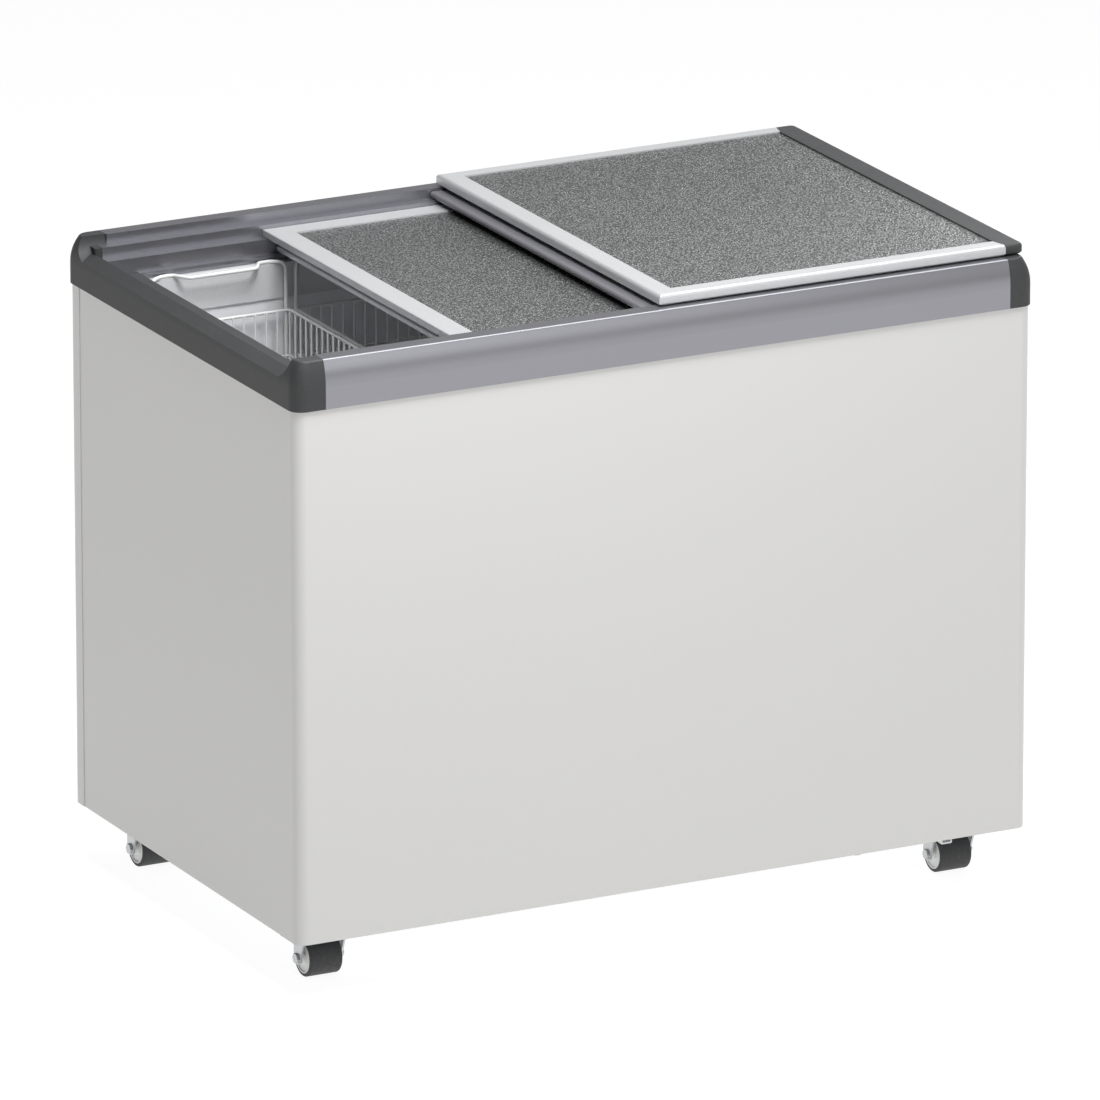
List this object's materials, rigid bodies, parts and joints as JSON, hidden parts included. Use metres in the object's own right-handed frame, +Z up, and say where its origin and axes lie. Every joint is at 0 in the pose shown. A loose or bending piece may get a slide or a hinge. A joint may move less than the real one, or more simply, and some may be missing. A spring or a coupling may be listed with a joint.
{
  "type": "ice cream dipping cabinet",
  "caption": "Chest freezer cabinet on swivel casters with two overlapping sliding lids, hanging wire baskets and a stepped well over its compressor.",
  "frame": {"origin": "on the floor, under the centre of the bounding box", "axes": "+X along the front from left to right, +Y to the back, +Z up"},
  "size_m": [1.045, 0.661, 0.847],
  "materials": {
    "white_enamel": "satin",
    "bare_steel": "satin",
    "liner": "satin",
    "breaker_plastic": "satin",
    "foam": "matte",
    "copper": "satin",
    "rim_profile": "satin",
    "cap_plastic": "matte",
    "lid_profile": "satin",
    "lid_stucco": "satin",
    "zinc": "satin",
    "grille_plastic": "matte",
    "knob_plastic": "satin",
    "pin_brass": "satin",
    "black_enamel": "satin",
    "grommet_rubber": "matte",
    "plug_plastic": "satin",
    "basket_wire": "satin",
    "hub_plastic": "satin",
    "tyre_rubber": "matte"
  },
  "bodies": {
    "cabinet": {"front_panel": "white_enamel", "back_panel": "white_enamel", "side_panel_left": "white_enamel", "side_panel_right": "white_enamel", "base_tray": "bare_steel", "inner_liner": "liner", "breaker_frame": "breaker_plastic", "insulation_foam": "foam", "evaporator_coil": "copper", "condenser_coil": "copper", "rim_front": "rim_profile", "rim_back": "rim_profile", "end_cap_left": "cap_plastic", "end_cap_right": "cap_plastic", "caster_plates": "zinc", "caster_bolts": "zinc", "compressor_grille": "grille_plastic", "grille_screws": "zinc", "control_pocket": "grille_plastic", "thermostat": "grille_plastic", "power_inlet": "knob_plastic", "inlet_pins": "pin_brass", "compressor": "black_enamel", "compressor_grommets": "grommet_rubber", "filter_drier": "copper", "refrigerant_pipes": "copper", "drain_plug": "plug_plastic", "base_bracket": "zinc", "basket_1_frame": "basket_wire", "basket_1_end_walls": "basket_wire", "basket_1_side_walls": "basket_wire", "basket_1_floor": "basket_wire"},
    "upper_lid": {"upper_lid_grip_stile": "lid_profile", "upper_lid_rails": "lid_profile", "upper_lid_end_cap": "cap_plastic", "upper_lid_panel": "lid_stucco", "upper_lid_skin": "lid_stucco", "upper_lid_foam": "foam"},
    "lower_lid": {"lower_lid_stiles": "lid_profile", "lower_lid_rails": "lid_profile", "lower_lid_panel": "lid_stucco", "lower_lid_skin": "lid_stucco", "lower_lid_foam": "foam"},
    "basket_2": {"basket_2_frame": "basket_wire", "basket_2_end_walls": "basket_wire", "basket_2_side_walls": "basket_wire", "basket_2_floor": "basket_wire"},
    "thermostat_knob": {"thermostat_knob": "knob_plastic"},
    "caster_fl_swivel": {"caster_fl_fork": "zinc"},
    "caster_fl_wheel": {"caster_fl_hub": "hub_plastic", "caster_fl_tyre": "tyre_rubber"},
    "caster_fr_swivel": {"caster_fr_fork": "zinc"},
    "caster_fr_wheel": {"caster_fr_hub": "hub_plastic", "caster_fr_tyre": "tyre_rubber"},
    "caster_bl_swivel": {"caster_bl_fork": "zinc"},
    "caster_bl_wheel": {"caster_bl_hub": "hub_plastic", "caster_bl_tyre": "tyre_rubber"},
    "caster_br_swivel": {"caster_br_fork": "zinc"},
    "caster_br_wheel": {"caster_br_hub": "hub_plastic", "caster_br_tyre": "tyre_rubber"}
  },
  "joints": [
    {"name": "upper_lid_slide", "type": "slide", "parent": "cabinet", "child": "upper_lid", "axis": [1, 0, 0], "range_m": [-0.4805, 0]},
    {"name": "lower_lid_slide", "type": "slide", "parent": "cabinet", "child": "lower_lid", "axis": [1, 0, 0], "range_m": [-0.2335, 0.2455]},
    {"name": "basket_2_slide", "type": "slide", "parent": "cabinet", "child": "basket_2", "axis": [1, 0, 0], "range_m": [-0.003, 0.486]},
    {"name": "thermostat_turn", "type": "hinge", "parent": "cabinet", "child": "thermostat_knob", "pos_m": [0.4269, 0.3, 0.299], "axis": [0, -1, 0], "range_deg": [0, 270]},
    {"name": "caster_fl_turn", "type": "hinge", "parent": "cabinet", "child": "caster_fl_swivel", "pos_m": [-0.4505, -0.259, 0.06], "axis": [0, 0, 1], "continuous": true},
    {"name": "caster_fl_roll", "type": "hinge", "parent": "caster_fl_swivel", "child": "caster_fl_wheel", "pos_m": [-0.4505, -0.243, 0.025], "axis": [1, 0, 0], "continuous": true},
    {"name": "caster_fr_turn", "type": "hinge", "parent": "cabinet", "child": "caster_fr_swivel", "pos_m": [0.4505, -0.259, 0.06], "axis": [0, 0, 1], "continuous": true},
    {"name": "caster_fr_roll", "type": "hinge", "parent": "caster_fr_swivel", "child": "caster_fr_wheel", "pos_m": [0.4505, -0.243, 0.025], "axis": [1, 0, 0], "continuous": true},
    {"name": "caster_bl_turn", "type": "hinge", "parent": "cabinet", "child": "caster_bl_swivel", "pos_m": [-0.4505, 0.227, 0.06], "axis": [0, 0, 1], "continuous": true},
    {"name": "caster_bl_roll", "type": "hinge", "parent": "caster_bl_swivel", "child": "caster_bl_wheel", "pos_m": [-0.4505, 0.243, 0.025], "axis": [1, 0, 0], "continuous": true},
    {"name": "caster_br_turn", "type": "hinge", "parent": "cabinet", "child": "caster_br_swivel", "pos_m": [0.4505, 0.227, 0.06], "axis": [0, 0, 1], "continuous": true},
    {"name": "caster_br_roll", "type": "hinge", "parent": "caster_br_swivel", "child": "caster_br_wheel", "pos_m": [0.4505, 0.243, 0.025], "axis": [1, 0, 0], "continuous": true}
  ]
}
